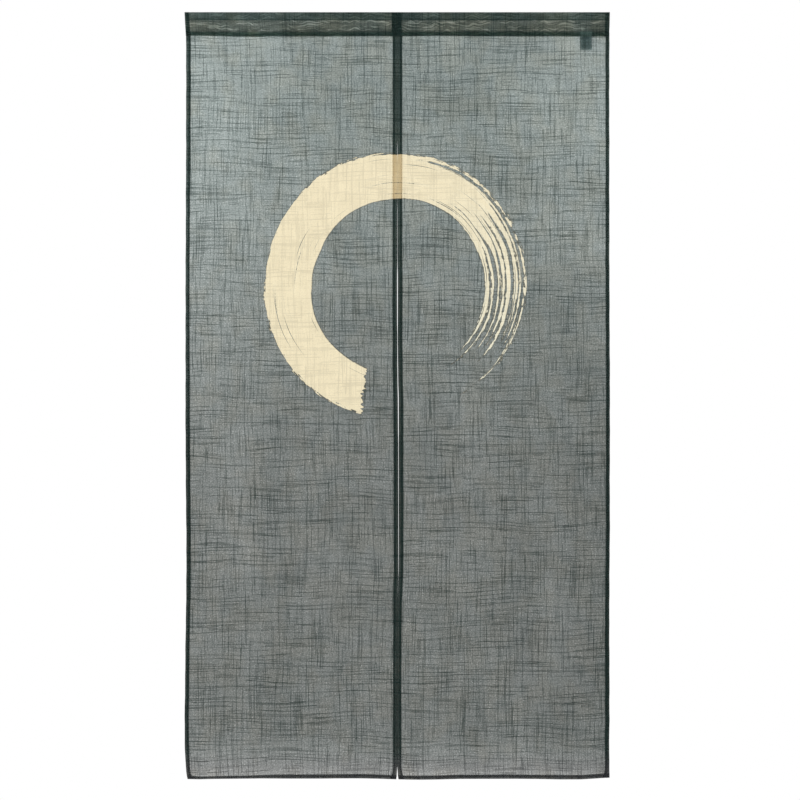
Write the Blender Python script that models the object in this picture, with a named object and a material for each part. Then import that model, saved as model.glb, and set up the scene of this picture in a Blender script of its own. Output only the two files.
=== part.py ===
"""A two-panel noren curtain of sheer slub cloth, hanging flat from the rod pocket along its top.

Metres, +Z up. The printed face looks towards -Y and +X is to its right. The origin is the middle of the
top edge, so places down the cloth are given as a drop below that edge. The tables are in millimetres.
"""

import math

import bmesh
import bpy
import numpy as np

MM = 0.001

# The whole curtain: 83 cm wide and 150 cm long as it hangs.
LENGTH = 1500.0
PIECE_GAP = 0.3  # between one sewn piece and the next
STATION_PITCH = 28.0  # widest spacing of the points across the cloth
ROW_PITCH = 45.0  # widest spacing of the points down the cloth

# One layer of the hanging cloth and its turned hems.
CLOTH = 1.0
HEM_WIDTH = 8.4
HEM_THICKER = 1.2  # the turned layers lie on the back
HEM_STEP = 1.0  # width of the slope from the hem down to the single layer

# The heading: front and back walls that part to take a rod, closed below by a sewn band.
POCKET_DROP = 36.9  # lower end of the pocket, where the band starts
POCKET_LEVELS = 9
FRONT_BULGE = 1.5  # the front wall hangs nearly flat
BACK_BULGE = 9.0  # the back wall stands off it
BACK_FULLNESS = 0.75  # under 1, so that the back wall is fuller than a sine
FACING_DROP = 15.0  # the turned edge inside the front wall ends here
FACING_THICKER = 0.4
BAND_BACK = 1.9  # how far the band's turned layers reach behind the middle plane
BAND_SLOPE = 1.2
TOP_FOLD = {"half_width": 0.6, "drop": 0.3}  # the rounding of the top edge, as shares of a wall
END_HEM = 9.8
SIDE_HEM_GROWTH = 0.4  # each face of a wall moves out by this at the hems
HEADING_LEFT = {"top": -416.2, "bottom": -413.6}
HEADING_RIGHT = {"top": 416.0, "bottom": 414.7}
CENTRE_SEAM = {"left": -10.7, "right": 8.7}

# How wide the pocket stands open along its length, as a share of the bulges.
POCKET_OPEN = {
    "across": (-416.2, -250.0, -80.0, 0.0, 90.0, 280.0, 416.0),
    "share": (1.00, 0.91, 1.00, 0.87, 0.98, 0.90, 1.00),
}

# The heading's lower edge waves a little; the panels start 0.3 mm under it.
SEAM_EDGE = {
    "across": (-413.6, -386, -308, -269, -229, -151, -73, 0, 84, 162, 240, 318, 397, 414.7),
    "drop": (45.3, 44.8, 46.5, 47.2, 45.5, 46.4, 45.9, 46.0, 44.9, 46.0, 45.9, 46.1, 46.7, 46.5),
}

# The four long edges. The panels are sewn edge to edge down to 244 mm, and part into the slit below it.
LONG_EDGES = {
    "drop": (
        *(46, 94, 244, 252, 330, 446, 563, 651, 769, 886),
        *(1033, 1091, 1150, 1268, 1385, 1444, 1473, 1487, 1500),
    ),
    "left": (
        *(-413.6, -413.6, -413.7, -413.7, -414.0, -414.5, -414.9, -414.8, -415.0, -414.6),
        *(-413.3, -413.0, -413.7, -415.3, -416.6, -416.2, -414.4, -412.8, -410.6),
    ),
    "slit_left": (
        *(0.7, 0.6, 0.3, -1.4, -1.5, -1.6, -1.9, -1.5, 0.1, 0.5),
        *(0.6, 0.4, -0.3, -0.4, -0.4, -0.5, -0.5, -2.1, -2.8),
    ),
    "slit_right": (
        *(1.0, 0.9, 0.6, 0.9, 0.8, 0.8, 1.3, 1.5, 2.6, 2.8),
        *(2.4, 1.8, 0.1, 0.0, 0.0, -0.1, -0.1, 1.5, 2.4),
    ),
    "right": (
        *(414.7, 414.3, 414.3, 414.3, 414.4, 414.5, 414.7, 415.1, 415.4, 415.2),
        *(415.3, 414.7, 414.3, 414.4, 414.7, 413.7, 414.3, 414.4, 414.5),
    ),
}

# The bottom edge of both panels.
BOTTOM_EDGE = {
    "across": (-411, -386, -347, -269, -190, -112, -34, 0, 45, 123, 201, 318, 358, 397, 414.5),
    "drop": (
        *(1500.3, 1500.9, 1500.1, 1498.8, 1498.6, 1498.7, 1499.6, 1500.6),
        *(1500.9, 1499.6, 1499.8, 1500.7, 1500.3, 1498.0, 1497.4),
    ),
}

# Soft folds that run down the hanging cloth. A positive depth is a trough, away from the viewer.
FOLDS = (
    {"top": -342, "bottom": -356, "depth": 2.6, "half_width": 58, "starts": 60},
    {"top": -205, "bottom": -188, "depth": -3.2, "half_width": 72, "starts": 180},
    {"top": -66, "bottom": -78, "depth": 2.4, "half_width": 44, "starts": 300},
    {"top": 88, "bottom": 74, "depth": -2.8, "half_width": 60, "starts": 200},
    {"top": 226, "bottom": 246, "depth": 3.2, "half_width": 70, "starts": 120},
    {"top": 366, "bottom": 352, "depth": -2.4, "half_width": 50, "starts": 260},
)
FOLD_GROWS_OVER = 700.0  # drop in which a fold comes to its full depth
HEM_CURL = {"reach": 90.0, "forward": 3.0}  # the weighted lower end swings a little towards the viewer

# The small blank label, sewn behind the band at the right.
LABEL = {"left": 358.1, "right": 381.2, "top": 37.6, "bottom": 73.9, "thickness": 1.0}
LABEL_HANG = 1.0  # how far it hangs behind the panel
LABEL_BEND = {"from": 46.5, "to": 54.0}
LABEL_COLUMNS = 4
LABEL_ROWS = 10

CLOTH_COLOUR = (0.178, 0.200, 0.190)
HEADING_COLOUR = (0.060, 0.072, 0.066)
LABEL_COLOUR = (0.48, 0.50, 0.50)
ROUGH = 0.9


def clear_scene():
    for old in list(bpy.data.objects):
        bpy.data.objects.remove(old)


def cloth_material(name, colour):
    material = bpy.data.materials.new(name)
    material.use_nodes = True
    shader = material.node_tree.nodes["Principled BSDF"]
    shader.inputs["Base Color"].default_value = (*colour, 1.0)
    shader.inputs["Roughness"].default_value = ROUGH
    shader.inputs["Metallic"].default_value = 0.0
    return material


def point(across, depth, drop):
    """A place on the curtain, given in millimetres: to the right, away from the viewer, and down."""
    return (across * MM, depth * MM, -drop * MM)


def along(table, column, key, value):
    """The table's column at value of its key column, on straight lines between the rows."""
    return float(np.interp(value, table[key], table[column]))


def smooth_step(low, high, value):
    share = min(1.0, max(0.0, (value - low) / (high - low)))
    return share * share * (3.0 - 2.0 * share)


def filled_in(places, pitch):
    """The places in order, with more between them where they lie further apart than pitch."""
    ordered = sorted(set(places))
    result = [ordered[0]]
    for start, end in zip(ordered, ordered[1:]):
        steps = math.ceil((end - start) / pitch)
        result.extend(start + (end - start) * step / steps for step in range(1, steps + 1))
    return result


def fold_depth(across, drop):
    """How far the middle of the cloth lies behind the plane of its top edge."""
    depth = -HEM_CURL["forward"] * smooth_step(LENGTH - HEM_CURL["reach"], LENGTH, drop)
    for fold in FOLDS:
        middle = np.interp(drop, (0.0, LENGTH), (fold["top"], fold["bottom"]))
        growth = smooth_step(fold["starts"], fold["starts"] + FOLD_GROWS_OVER, drop)
        depth += fold["depth"] * growth * math.exp(-(((across - middle) / fold["half_width"]) ** 2))
    return depth


def solid_from(name, vertices, faces, material):
    """One named object of a closed body, shaded smooth but for its edges."""
    mesh = bpy.data.meshes.new(name)
    body = bmesh.new()
    made = [body.verts.new(place) for place in vertices]
    for face in faces:
        corners = [made[index] for index in face]
        if len(set(corners)) > 2:
            body.faces.new(corners)
    bmesh.ops.remove_doubles(body, verts=body.verts, dist=1e-6)
    bmesh.ops.dissolve_degenerate(body, edges=body.edges, dist=1e-7)
    bmesh.ops.recalc_face_normals(body, faces=body.faces)
    body.to_mesh(mesh)
    body.free()
    mesh.shade_smooth()
    mesh.set_sharp_from_angle(angle=math.radians(35))
    mesh.materials.append(material)
    piece = bpy.data.objects.new(name, mesh)
    bpy.context.scene.collection.objects.link(piece)
    return piece


def sheet_solid(name, front, back, material):
    """A closed sheet between two grids of points that match row by row."""
    rows, columns = len(front), len(front[0])
    vertices = [place for grid in (front, back) for row in grid for place in row]

    def at(side, row, column):
        return side * rows * columns + row * columns + column

    faces = []
    for row in range(rows - 1):
        for column in range(columns - 1):
            corners = ((row, column), (row + 1, column), (row + 1, column + 1), (row, column + 1))
            faces.append([at(0, *corner) for corner in corners])
            faces.append([at(1, *corner) for corner in reversed(corners)])
    rim = [(0, column) for column in range(columns)]
    rim += [(row, columns - 1) for row in range(1, rows)]
    rim += [(rows - 1, column) for column in range(columns - 2, -1, -1)]
    rim += [(row, 0) for row in range(rows - 2, 0, -1)]
    for start, end in zip(rim, rim[1:] + rim[:1]):
        faces.append([at(0, *start), at(0, *end), at(1, *end), at(1, *start)])
    return solid_from(name, vertices, faces, material)


def hem_extra(to_side, to_bottom):
    """How much thicker the cloth is this far in from its side hem's edge and from its bottom edge."""
    inside = min(to_side, to_bottom)
    return HEM_THICKER * (1.0 - smooth_step(HEM_WIDTH, HEM_WIDTH + HEM_STEP, inside))


def panel(name, left_column, right_column, material):
    """One hanging panel: its two long edges are columns of LONG_EDGES, and its hems are part of it."""
    top_drop, end_drop = LONG_EDGES["drop"][0], LONG_EDGES["drop"][-1]
    top_left, top_right = LONG_EDGES[left_column][0], LONG_EDGES[right_column][0]
    hem_lines = (0.0, HEM_WIDTH, HEM_WIDTH + HEM_STEP)
    stations = [place for place in SEAM_EDGE["across"] if top_left < place < top_right]
    stations += [top_left + inset for inset in hem_lines] + [top_right - inset for inset in hem_lines]
    stations = filled_in(stations, STATION_PITCH)
    drops = [drop for drop in LONG_EDGES["drop"] if drop < end_drop - HEM_WIDTH - 2 * HEM_STEP]
    drops = filled_in(drops + [end_drop - inset for inset in hem_lines], ROW_PITCH)
    front, back = [], []
    for drop in drops:
        left = along(LONG_EDGES, left_column, "drop", drop)
        right = along(LONG_EDGES, right_column, "drop", drop)
        front_row, back_row = [], []
        for station in stations:
            share = (station - top_left) / (top_right - top_left)
            across = left + share * (right - left)
            start = along(SEAM_EDGE, "drop", "across", station) + PIECE_GAP
            end = along(BOTTOM_EDGE, "drop", "across", across)
            down = start + (end - start) * (drop - top_drop) / (end_drop - top_drop)
            middle = fold_depth(across, drop)
            extra = hem_extra(min(station - top_left, top_right - station), end_drop - drop)
            front_row.append(point(across, middle - CLOTH / 2, down))
            back_row.append(point(across, middle + CLOTH / 2 + extra, down))
        front.append(front_row)
        back.append(back_row)
    return sheet_solid(name, front, back, material)


def pocket_walls(share_up, growth, open_share):
    """(outer front, inner front, inner back, outer back) depths of the sleeve at a share of its height."""
    arch = math.sin(math.pi * share_up)
    full_arch = arch**BACK_FULLNESS if arch > 1e-9 else 0.0
    drop = POCKET_DROP + (CLOTH - POCKET_DROP) * share_up
    facing = FACING_THICKER if drop < FACING_DROP else 0.0
    outer_front = -FRONT_BULGE * open_share * arch - CLOTH - growth
    inner_front = (growth + facing - FRONT_BULGE * open_share) * arch
    inner_back = (BACK_BULGE * open_share - growth) * full_arch
    outer_back = BACK_BULGE * open_share * full_arch + CLOTH + growth
    return outer_front, inner_front, inner_back, outer_back


def heading_section(lower_edge, growth, open_share):
    """The heading's outer and inner loops at one station: (depth, drop) pairs that match one to one."""
    wall = CLOTH + growth
    band_end, pocket_end = (0.0, POCKET_DROP), (0.0, CLOTH)
    outer = [(-wall, lower_edge)]
    inner = [band_end]
    shares = [level / POCKET_LEVELS for level in range(POCKET_LEVELS + 1)]
    for share in shares:
        drop = POCKET_DROP + (CLOTH - POCKET_DROP) * share
        outer_front, inner_front, _, _ = pocket_walls(share, growth, open_share)
        outer.append((outer_front, drop))
        inner.append((inner_front, drop))
    shoulder, shoulder_drop = TOP_FOLD["half_width"] * wall, TOP_FOLD["drop"] * CLOTH
    outer += [(-shoulder, shoulder_drop), (0.0, 0.0), (shoulder, shoulder_drop)]
    inner += [pocket_end] * 3
    for share in reversed(shares):
        drop = POCKET_DROP + (CLOTH - POCKET_DROP) * share
        _, _, inner_back, outer_back = pocket_walls(share, growth, open_share)
        outer.append((outer_back, drop))
        inner.append((inner_back, drop))
    outer += [(BAND_BACK + growth, POCKET_DROP + BAND_SLOPE), (BAND_BACK + growth, lower_edge)]
    inner += [band_end] * 2
    return outer, inner


def heading_growth(station):
    """The walls are thicker at the end hems and where the two panels' hems meet in the middle."""
    edges = (
        station - HEADING_LEFT["bottom"] - END_HEM,
        HEADING_RIGHT["bottom"] - END_HEM - station,
        max(CENTRE_SEAM["left"] - station, station - CENTRE_SEAM["right"]),
    )
    return SIDE_HEM_GROWTH * (1.0 - smooth_step(0.0, HEM_STEP, min(edges)))


def heading_stations():
    low, high = HEADING_LEFT["bottom"], HEADING_RIGHT["bottom"]
    stations = list(SEAM_EDGE["across"])
    stations += [low + END_HEM, low + END_HEM + HEM_STEP, high - END_HEM - HEM_STEP, high - END_HEM]
    stations += [CENTRE_SEAM["left"] - HEM_STEP, CENTRE_SEAM["left"]]
    stations += [CENTRE_SEAM["right"], CENTRE_SEAM["right"] + HEM_STEP]
    return filled_in(stations, STATION_PITCH)


def heading(name, material):
    """The sleeve along the whole top edge, open at both ends for a rod, with its sewn band below."""
    low, high = HEADING_LEFT["bottom"], HEADING_RIGHT["bottom"]
    stations = heading_stations()
    vertices = []
    for station in stations:
        share = (station - low) / (high - low)
        lower_edge = along(SEAM_EDGE, "drop", "across", station)
        open_share = along(POCKET_OPEN, "share", "across", station)
        for loop in heading_section(lower_edge, heading_growth(station), open_share):
            for depth, drop in loop:
                height = 1.0 - drop / lower_edge
                left = low + (HEADING_LEFT["top"] - low) * height
                right = high + (HEADING_RIGHT["top"] - high) * height
                vertices.append(point(left + share * (right - left), depth, drop))
    ring = len(vertices) // (2 * len(stations))

    def at(station, loop, step):
        return (2 * station + loop) * ring + step % ring

    faces = []
    for step in range(ring):
        for station in range(len(stations) - 1):
            for loop in (0, 1):
                faces.append(
                    [
                        at(station, loop, step),
                        at(station, loop, step + 1),
                        at(station + 1, loop, step + 1),
                        at(station + 1, loop, step),
                    ]
                )
        for station in (0, len(stations) - 1):
            corners = ((0, step), (0, step + 1), (1, step + 1), (1, step))
            faces.append([at(station, *corner) for corner in corners])
    return solid_from(name, vertices, faces, material)


def label(name, material):
    """The blank label: flat against the back of the band, then hanging just behind the panel."""
    front, back = [], []
    band_face = BAND_BACK + PIECE_GAP
    panel_face = CLOTH / 2 + LABEL_HANG
    for row in range(LABEL_ROWS + 1):
        drop = LABEL["top"] + (LABEL["bottom"] - LABEL["top"]) * row / LABEL_ROWS
        bend = smooth_step(LABEL_BEND["from"], LABEL_BEND["to"], drop)
        front_row, back_row = [], []
        for column in range(LABEL_COLUMNS + 1):
            across = LABEL["left"] + (LABEL["right"] - LABEL["left"]) * column / LABEL_COLUMNS
            depth = band_face + (panel_face + fold_depth(across, drop) - band_face) * bend
            front_row.append(point(across, depth, drop))
            back_row.append(point(across, depth + LABEL["thickness"], drop))
        front.append(front_row)
        back.append(back_row)
    return sheet_solid(name, front, back, material)


def main():
    clear_scene()
    cloth = cloth_material("slub_cloth", CLOTH_COLOUR)
    heading("heading", cloth_material("doubled_cloth", HEADING_COLOUR))
    panel("panel_left", "left", "slit_left", cloth)
    panel("panel_right", "slit_right", "right", cloth)
    label("label", cloth_material("label_tape", LABEL_COLOUR))


main()
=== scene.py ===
"""How the noren curtain looks: sheer slub cloth, sewn hems and a brushed ring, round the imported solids.

Each piece of cloth is a thin sheet on the folds of its solid, with its hems really turned, so hems and
pocket look dark because light has to pass through more layers. Sizes are in millimetres unless a name
says otherwise: across to the right, depth away from the viewer, and drop below the top edge.
"""

import functools
import math
from collections import namedtuple

import bpy
import numpy as np
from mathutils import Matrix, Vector


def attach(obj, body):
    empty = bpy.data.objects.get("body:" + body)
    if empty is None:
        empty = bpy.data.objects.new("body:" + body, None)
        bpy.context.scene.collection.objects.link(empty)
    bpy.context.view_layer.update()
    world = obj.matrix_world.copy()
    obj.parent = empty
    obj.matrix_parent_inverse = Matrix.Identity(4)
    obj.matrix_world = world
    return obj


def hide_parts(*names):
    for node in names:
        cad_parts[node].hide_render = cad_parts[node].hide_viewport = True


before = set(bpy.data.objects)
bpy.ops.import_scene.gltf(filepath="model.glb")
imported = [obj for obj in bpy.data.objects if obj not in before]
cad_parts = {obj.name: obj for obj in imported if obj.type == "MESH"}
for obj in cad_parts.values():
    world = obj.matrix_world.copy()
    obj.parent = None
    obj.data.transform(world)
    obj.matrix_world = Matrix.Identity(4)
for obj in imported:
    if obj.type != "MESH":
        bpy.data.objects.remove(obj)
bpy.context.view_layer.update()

MM = 0.001
PHOTO_PIXEL = 1.9565  # one pixel of the photograph, on the cloth

# ---- the solids' own sizes
LENGTH = 1500.0
POCKET_DROP = 36.9
FRONT_BULGE = 1.5
BACK_BULGE = 9.0
BACK_FULLNESS = 0.75
END_HEMS = {"left": 8.2, "middle": 9.9, "right": 8.9}
HEADING_LEFT = {"top": -416.2, "bottom": -413.6}
HEADING_RIGHT = {"top": 416.0, "bottom": 414.7}
POCKET_OPEN = {
    "across": (-416.2, -250.0, -80.0, 0.0, 90.0, 280.0, 416.0),
    "share": (1.00, 0.91, 1.00, 0.87, 0.98, 0.90, 1.00),
}
SEAM_EDGE = {
    "across": (-413.6, -386, -308, -269, -229, -151, -73, 0, 84, 162, 240, 318, 397, 414.7),
    "drop": (45.3, 44.8, 46.5, 47.2, 45.5, 46.4, 45.9, 46.0, 44.9, 46.0, 45.9, 46.1, 46.7, 46.5),
}
BAND_FOOT = 46.0  # the middle of that edge
LONG_EDGES = {
    "drop": (
        *(46, 94, 244, 252, 330, 446, 563, 651, 769, 886),
        *(1033, 1091, 1150, 1268, 1385, 1444, 1473, 1487, 1500),
    ),
    "left": (
        *(-413.6, -413.6, -413.7, -413.7, -414.0, -414.5, -414.9, -414.8, -415.0, -414.6),
        *(-413.3, -413.0, -413.7, -415.3, -416.6, -416.2, -414.4, -412.8, -410.6),
    ),
    "right": (
        *(414.7, 414.3, 414.3, 414.3, 414.4, 414.5, 414.7, 415.1, 415.4, 415.2),
        *(415.3, 414.7, 414.3, 414.4, 414.7, 413.7, 414.3, 414.4, 414.5),
    ),
}
SEAM_DROP = LONG_EDGES["drop"][0]  # the panels are sewn to the heading here
BOTTOM_EDGE = {
    "across": (-411, -386, -347, -269, -190, -112, -34, 0, 45, 123, 201, 318, 358, 397, 414.5),
    "drop": (
        *(1500.3, 1500.9, 1500.1, 1498.8, 1498.6, 1498.7, 1499.6, 1500.6),
        *(1500.9, 1499.6, 1499.8, 1500.7, 1500.3, 1498.0, 1497.4),
    ),
}
FOLDS = (
    {"top": -342, "bottom": -356, "depth": 2.6, "half_width": 58, "starts": 60},
    {"top": -205, "bottom": -188, "depth": -3.2, "half_width": 72, "starts": 180},
    {"top": -66, "bottom": -78, "depth": 2.4, "half_width": 44, "starts": 300},
    {"top": 88, "bottom": 74, "depth": -2.8, "half_width": 60, "starts": 200},
    {"top": 226, "bottom": 246, "depth": 3.2, "half_width": 70, "starts": 120},
    {"top": 366, "bottom": 352, "depth": -2.4, "half_width": 50, "starts": 260},
)
FOLD_GROWS_OVER = 700.0
HEM_CURL = {"reach": 90.0, "forward": 3.0}
LABEL = {"left": 358.1, "right": 381.2, "top": 37.6, "bottom": 73.9}
LABEL_FACE = {"band": 2.2, "hanging": 1.5}  # depth of the label's front, behind the band and lower down
LABEL_BEND = {"from": 46.5, "to": 54.0}

# ---- the sewn cloth
COLUMN_PITCH = 5.0
ROW_PITCH = 6.0
LAYER_GAP = 0.5  # from one layer of a hem to the next
TURNED_IN = 4.9  # how far the raw edge reaches back inside a hem
PANELS = {"panel_left": ("left", "slit_left"), "panel_right": ("slit_right", "right")}  # their edges
HEM_WIDTHS = {"left": 9.2, "slit_left": 9.4, "slit_right": 9.8, "right": 8.0}  # as sewn, at full width
HEM_SHARES = {  # what shows of that width on the way down
    "drop": (0, 300, 420, 620, 760, 900, 1060, 1220, 1500),
    "left": (1.03, 0.97, 0.87, 0.87, 0.96, 0.99, 0.97, 0.89, 0.89),
    "slit_left": (1.0, 1.0, 1.0, 1.0, 1.0, 1.0, 1.0, 0.87, 0.87),
    "slit_right": (1.0, 0.98, 0.976, 0.969, 0.965, 0.96, 0.97, 0.87, 0.87),
    "right": (0.95, 0.95, 0.958, 0.971, 0.981, 0.99, 1.02, 1.12, 1.12),
}
EDGE_SHIFT = {"left": 0.5, "right": 0.7}  # the sewn edges lie this far to the right of the solids' edges
HEM_UNEVEN = {"side": 0.035, "bottom": 0.05}
BOTTOM_HEM = 8.0
BOTTOM_HEM_SHARE = {  # what shows of that width from left to right
    "across": (-412, -385, -300, -180, -60, 0, 30, 200, 380, 415),
    "share": (0.85, 0.66, 0.74, 1.04, 1.08, 0.98, 1.00, 1.02, 1.08, 1.10),
}
CORNER_PRESSED = 0.45  # how flat the side hem is pressed where the bottom hem turns over it
CORNER_REACH = 10.0
CORNER_SPREAD = 0.40  # how much wider the hem bunches up at a lower corner
SEAM_TUCK = 6.0  # how far a panel runs up inside the band of the heading
SEWN_DOWN_TO = 240.0  # the two panels are sewn together to here
SLIT = {  # the middle of the slit and how far it stands open
    "drop": (
        *(46, 252, 264, 280, 290, 374, 386, 469, 493, 516, 563, 610, 634, 681, 727, 751),
        *(821, 845, 1033, 1092, 1103, 1150, 1300, 1474, 1479, 1482, 1491, 1497, 1501),
    ),
    "middle": (
        *(0.3, 0.3, 0.3, 0.3, 0.3, 0.3, 0.3, 0.3, 0.4, 0.4, 0.4, 0.4, 0.5, 0.8, 1.3, 2.0),
        *(2.3, 2.4, 2.6, 2.5, 2.4, 0.5, -0.3, -0.1, 0.0, 0.1, 0.1, 0.2, 0.3),
    ),
    "gap": (
        *(0.0, 0.0, 0.30, 0.30, 0.05, 0.05, 0.30, 0.30, 0.45, 1.25, 1.25, 1.10, 0.55, 0.90, 1.00, 1.35),
        *(1.05, 0.60, 0.55, 0.40, 0.15, 0.0, -0.1, 0.0, 0.4, 1.2, 1.9, 3.4, 4.6),
    ),
}
MIDDLE_JOIN = -1.0  # where the two halves of the heading meet
BAND_PRESSED = 0.25
BAND_LOWER = 1.3  # the soft lower fold of the band hangs this far below the solid's
ALLOWANCE = (38.6, 41.0, 43.5, BAND_FOOT - 0.6)  # lines from the raw edges inside the band to near its fold
# How far back the doubled band lies, from that allowance out round the fold.
BAND_LAYERS = {"front": (-0.28, -0.4, -0.52, -0.65, -0.75), "back": (0.85, 1.0, 1.2, 1.4, 1.5)}
SLEEVE_TOP = (  # the lines over the top edge, as drop, base, bulge and facing
    *((0.45, -0.48, 0.0, 0.7), (0.12, -0.3, 0.0, 0.3), (0.0, 0.0, 0.0, 0.0)),
    *((0.12, 0.3, 0.0, -0.3), (0.45, 0.48, 0.0, -0.7)),
)
FACING = {
    "top": 0.9,
    "drop": 16.2,
    "turn": 2.8,  # its own end is turned up this far
    "inset": 1.5,
    "depths": (-0.08, 0.08, 0.24),  # of its front layer, its fold and its turned end
    "cut": 60.0,  # where it begins in the flat cloth
    "seam": 14.9,
    "seam_depth": -0.55,
}
LOOSE = {"front": 0.55, "back": 1.6}  # how uneven the walls of the pocket are

# Uneven lines and faces: (amplitude, wavelength, phase), and for faces (amplitude, across, down, phase).
EDGE_WAVES = ((0.16, 63.0, 0.4), (0.12, 147.0, 2.0), (0.07, 27.0, 4.4))
FACE_WAVES = ((0.34, 173.0, 610.0, 0.7), (0.24, 101.0, -420.0, 2.9), (0.13, 59.0, 260.0, 4.1))
SLEEVE_WAVES = ((0.50, 67.0, 58.0, 0.3), (0.42, 41.0, -47.0, 1.9), (0.30, 23.0, 31.0, 5.2))
PUCKER = {"depth": 0.22, "length": 13.0, "inset": 9.0, "reach": 7.0}

STITCH = {"length": 2.2, "pitch": 3.1, "radius": 0.19, "sides": 5}
STITCH_INSET = 1.2  # from the inner edge of a hem to its line of stitches
CROSS_STITCH = {"pitch": 4.6, "slant": 0.35}
STITCH_RINGS = (  # share of its half length, share of its radius and height off the cloth
    *((-1.0, 0.45, -0.10), (-0.7, 0.95, 0.10), (0.0, 1.0, 0.17)),
    *((0.7, 0.95, 0.10), (1.0, 0.45, -0.10)),
)
SEAM_STEP = 4.0  # between the places that a line of stitches goes through
BAND_SEAMS = {"drops": (POCKET_DROP + 1.4, BAND_FOOT - 1.6), "front": -0.78, "back": 1.53}
FORWARD = (0.0, -1.0, 0.0)
BACKWARD = (0.0, 1.0, 0.0)

# ---- the brushed ring
# A plain brushed circle, made by rule. Its bristles come from the seed. Angles go clockwise from the bottom.
RING = {"across": 0.0, "drop": 535.0, "radius": 215.0, "width": 88.0, "seed": 5}
RING_FACES = (145.0, 290.0)  # faces between these radii wear the printed material
RING_SCALE = 300.0  # radii are held in the colour ramps as shares of this
HALF_OFFSET = 20.0  # added to half widths there, which keeps them above zero
STROKE = {"start": 18.0, "dries": 165.0, "end": 356.0, "lean": 0.05}
PRESS = {"wider": 0.07, "narrower": 0.16}  # how the width changes where the brush is pressed and lifted
WOBBLE = ((2.2, 2, 0.6), (1.2, 5, 2.1))  # of the brush's path: height, waves in a turn and phase
BUNDLES = {"count": 8, "step": 12.0, "overlap": 8.0, "jitter": 0.2, "uneven": (0.8, 1.2)}
BUNDLE_CHANCES = {"parts": (165.0, 235.0), "share": (0.28, 0.85), "ends": (325.0, 358.0)}
PARTING = 36.0  # degrees over which a bundle narrows
TAPER = 52.0  # degrees over which it runs out
BARE_HAIRS = 9
HAIR_CHANCES = {"from": (60.0, 225.0), "long": (16.0, 60.0), "half": (0.0, 0.7), "across": (-0.42, 0.42)}
GONE = -6.0  # half width where a strand isn't there
# Noise that roughens the stroke: (width, height, detail, its middle, how far it reaches).
BRUSH_NOISE = {
    "sway": (90.0, 70.0, 1.0, 0.5, 5.0),
    "hairs": (70.0, 2.2, 1.0, 0.5, 2.6),
    "specks": (4.3, 4.3, 1.0, 0.5, 1.5),
    "flecks": (13.0, 3.6, 0.0, 0.54, 6.0),
    "teeth": (5.0, 120.0, 1.0, 0.5, 14.0),
    "streaks": (190.0, 3.0, 1.0, 0.0, 1.0),
}
DRY_STREAKS = {"wet": 0.80, "dry": 0.50, "steep": 22.0}  # the cloth is bare where the streaks are above these
RAGGED = {"always": 0.7, "dry": 1.6, "outer": 1.5}  # how much hairs and specks roughen the stroke
FRAYED = 1.2  # how much specks roughen a bare hair
OUTER_EDGE = (0.3, 0.5)  # where the outer edge of the stroke lies, in widths from its middle
THIN_PAINT = {"wet": 0.12, "dries": 0.70}
STAIN = {"edge": (-2.2, -0.7), "wet": 0.55, "dries": 0.25, "strength": 0.85}  # the paint's soaked edge
PAINTED = (-0.7, 0.8)  # paint begins and is whole this far inside a strand
RIM = (0.8, 4.3, 1.0, 0.45)  # the pale rim: from, to, how strong at first and further in
PAINT_OVER_YARN = (1.1, 2.6, 0.0, 0.30)  # yarn from this to that thickness rubs so much of the paint thin
PAINT_RELIEF = (0.2, 2.2, 1.075, 0.925)  # and makes it so much paler or darker
BLOTCHES = ((9.0, 60.0, 1.0, 5.5), (34.0, 26.0, 1.0, 14.2))
BLOTCH_STRENGTH = 0.10  # how much the paint's thickness differs from place to place

# ---- colours, as shares of the light
YARN = (0.013, 0.029, 0.026)  # what the front of the dyed yarn sends back
FOOT_LIT_YARN = (0.040, 0.042, 0.046)  # painted light: the yarn's front painted paler at the foot, as lit from below
GLOW_TOP = (0.438, 0.506, 0.470)  # what dyed yarn lets through near the top; towards GLOW_BOTTOM it is painted darker and browner, as painted shade lower down
GLOW_BOTTOM = (0.266, 0.272, 0.250)
PRINT_FACE = (0.86, 0.645, 0.335)
PRINT_THIN = (0.62, 0.44, 0.21)  # over thick yarns
PRINT_RIM = (0.87, 0.82, 0.64)  # along the edges of a stroke, and in its thin strands
PRINT_GLOW = (0.75, 0.81, 0.71)
SOAKED_CLOTH = (0.085, 0.066, 0.035)
SOAKED_FACE = (0.030, 0.026, 0.014)
LABEL_TAPE = (0.76, 0.82, 0.83)
LABEL_GLOW = (0.20, 0.29, 0.34)
LABEL_BENEATH = (0.066, 0.112, 0.100)  # painted light: the band of the heading painted paler where the label lies under it, for the label showing through
LABEL_BLUR = 0.4
LABEL_RIB = (6.0, 0.5)  # width and height of the ribs' noise
LABEL_TONE = (0.2, 0.8, 0.85, 1.15)
THREAD = (0.020, 0.030, 0.028)
WHITE = (1.0, 1.0, 1.0)
FLOOR = (0.86, 0.86, 0.85)
COOL = (0.97, 0.998, 1.03)  # soft patches where the light through the cloth is cooler or warmer
WARM = (1.03, 1.002, 0.965)
OPENNESS = 0.085  # share of clear gaps between the yarns
YARN_SHADE = 0.40  # how fast thick yarns get darker
YARN_TONE = (0.0, 2.2, 0.85, 1.20)  # thickness from and to, and how pale their fronts are
THROUGH = {"cloth": 0.45, "label": 0.35}  # share of what a yarn sends on that comes from behind
CLOTH_FINISH = {"Roughness": 0.85, "Specular_IOR_Level": 0.12, "Sheen_Weight": 0.04, "Sheen_Roughness": 0.5}
CLOTH_BUMP = {"Strength": 0.35, "Distance": 0.0004}
LABEL_BUMP = {"Strength": 0.3, "Distance": 0.0002}
THREAD_LOOK = {"roughness": 0.6, "grain": (3000.0, 1.0, 3000.0), "detail": 0.0, "tones": (0.3, 0.7, 0.7, 1.3)}
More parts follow.
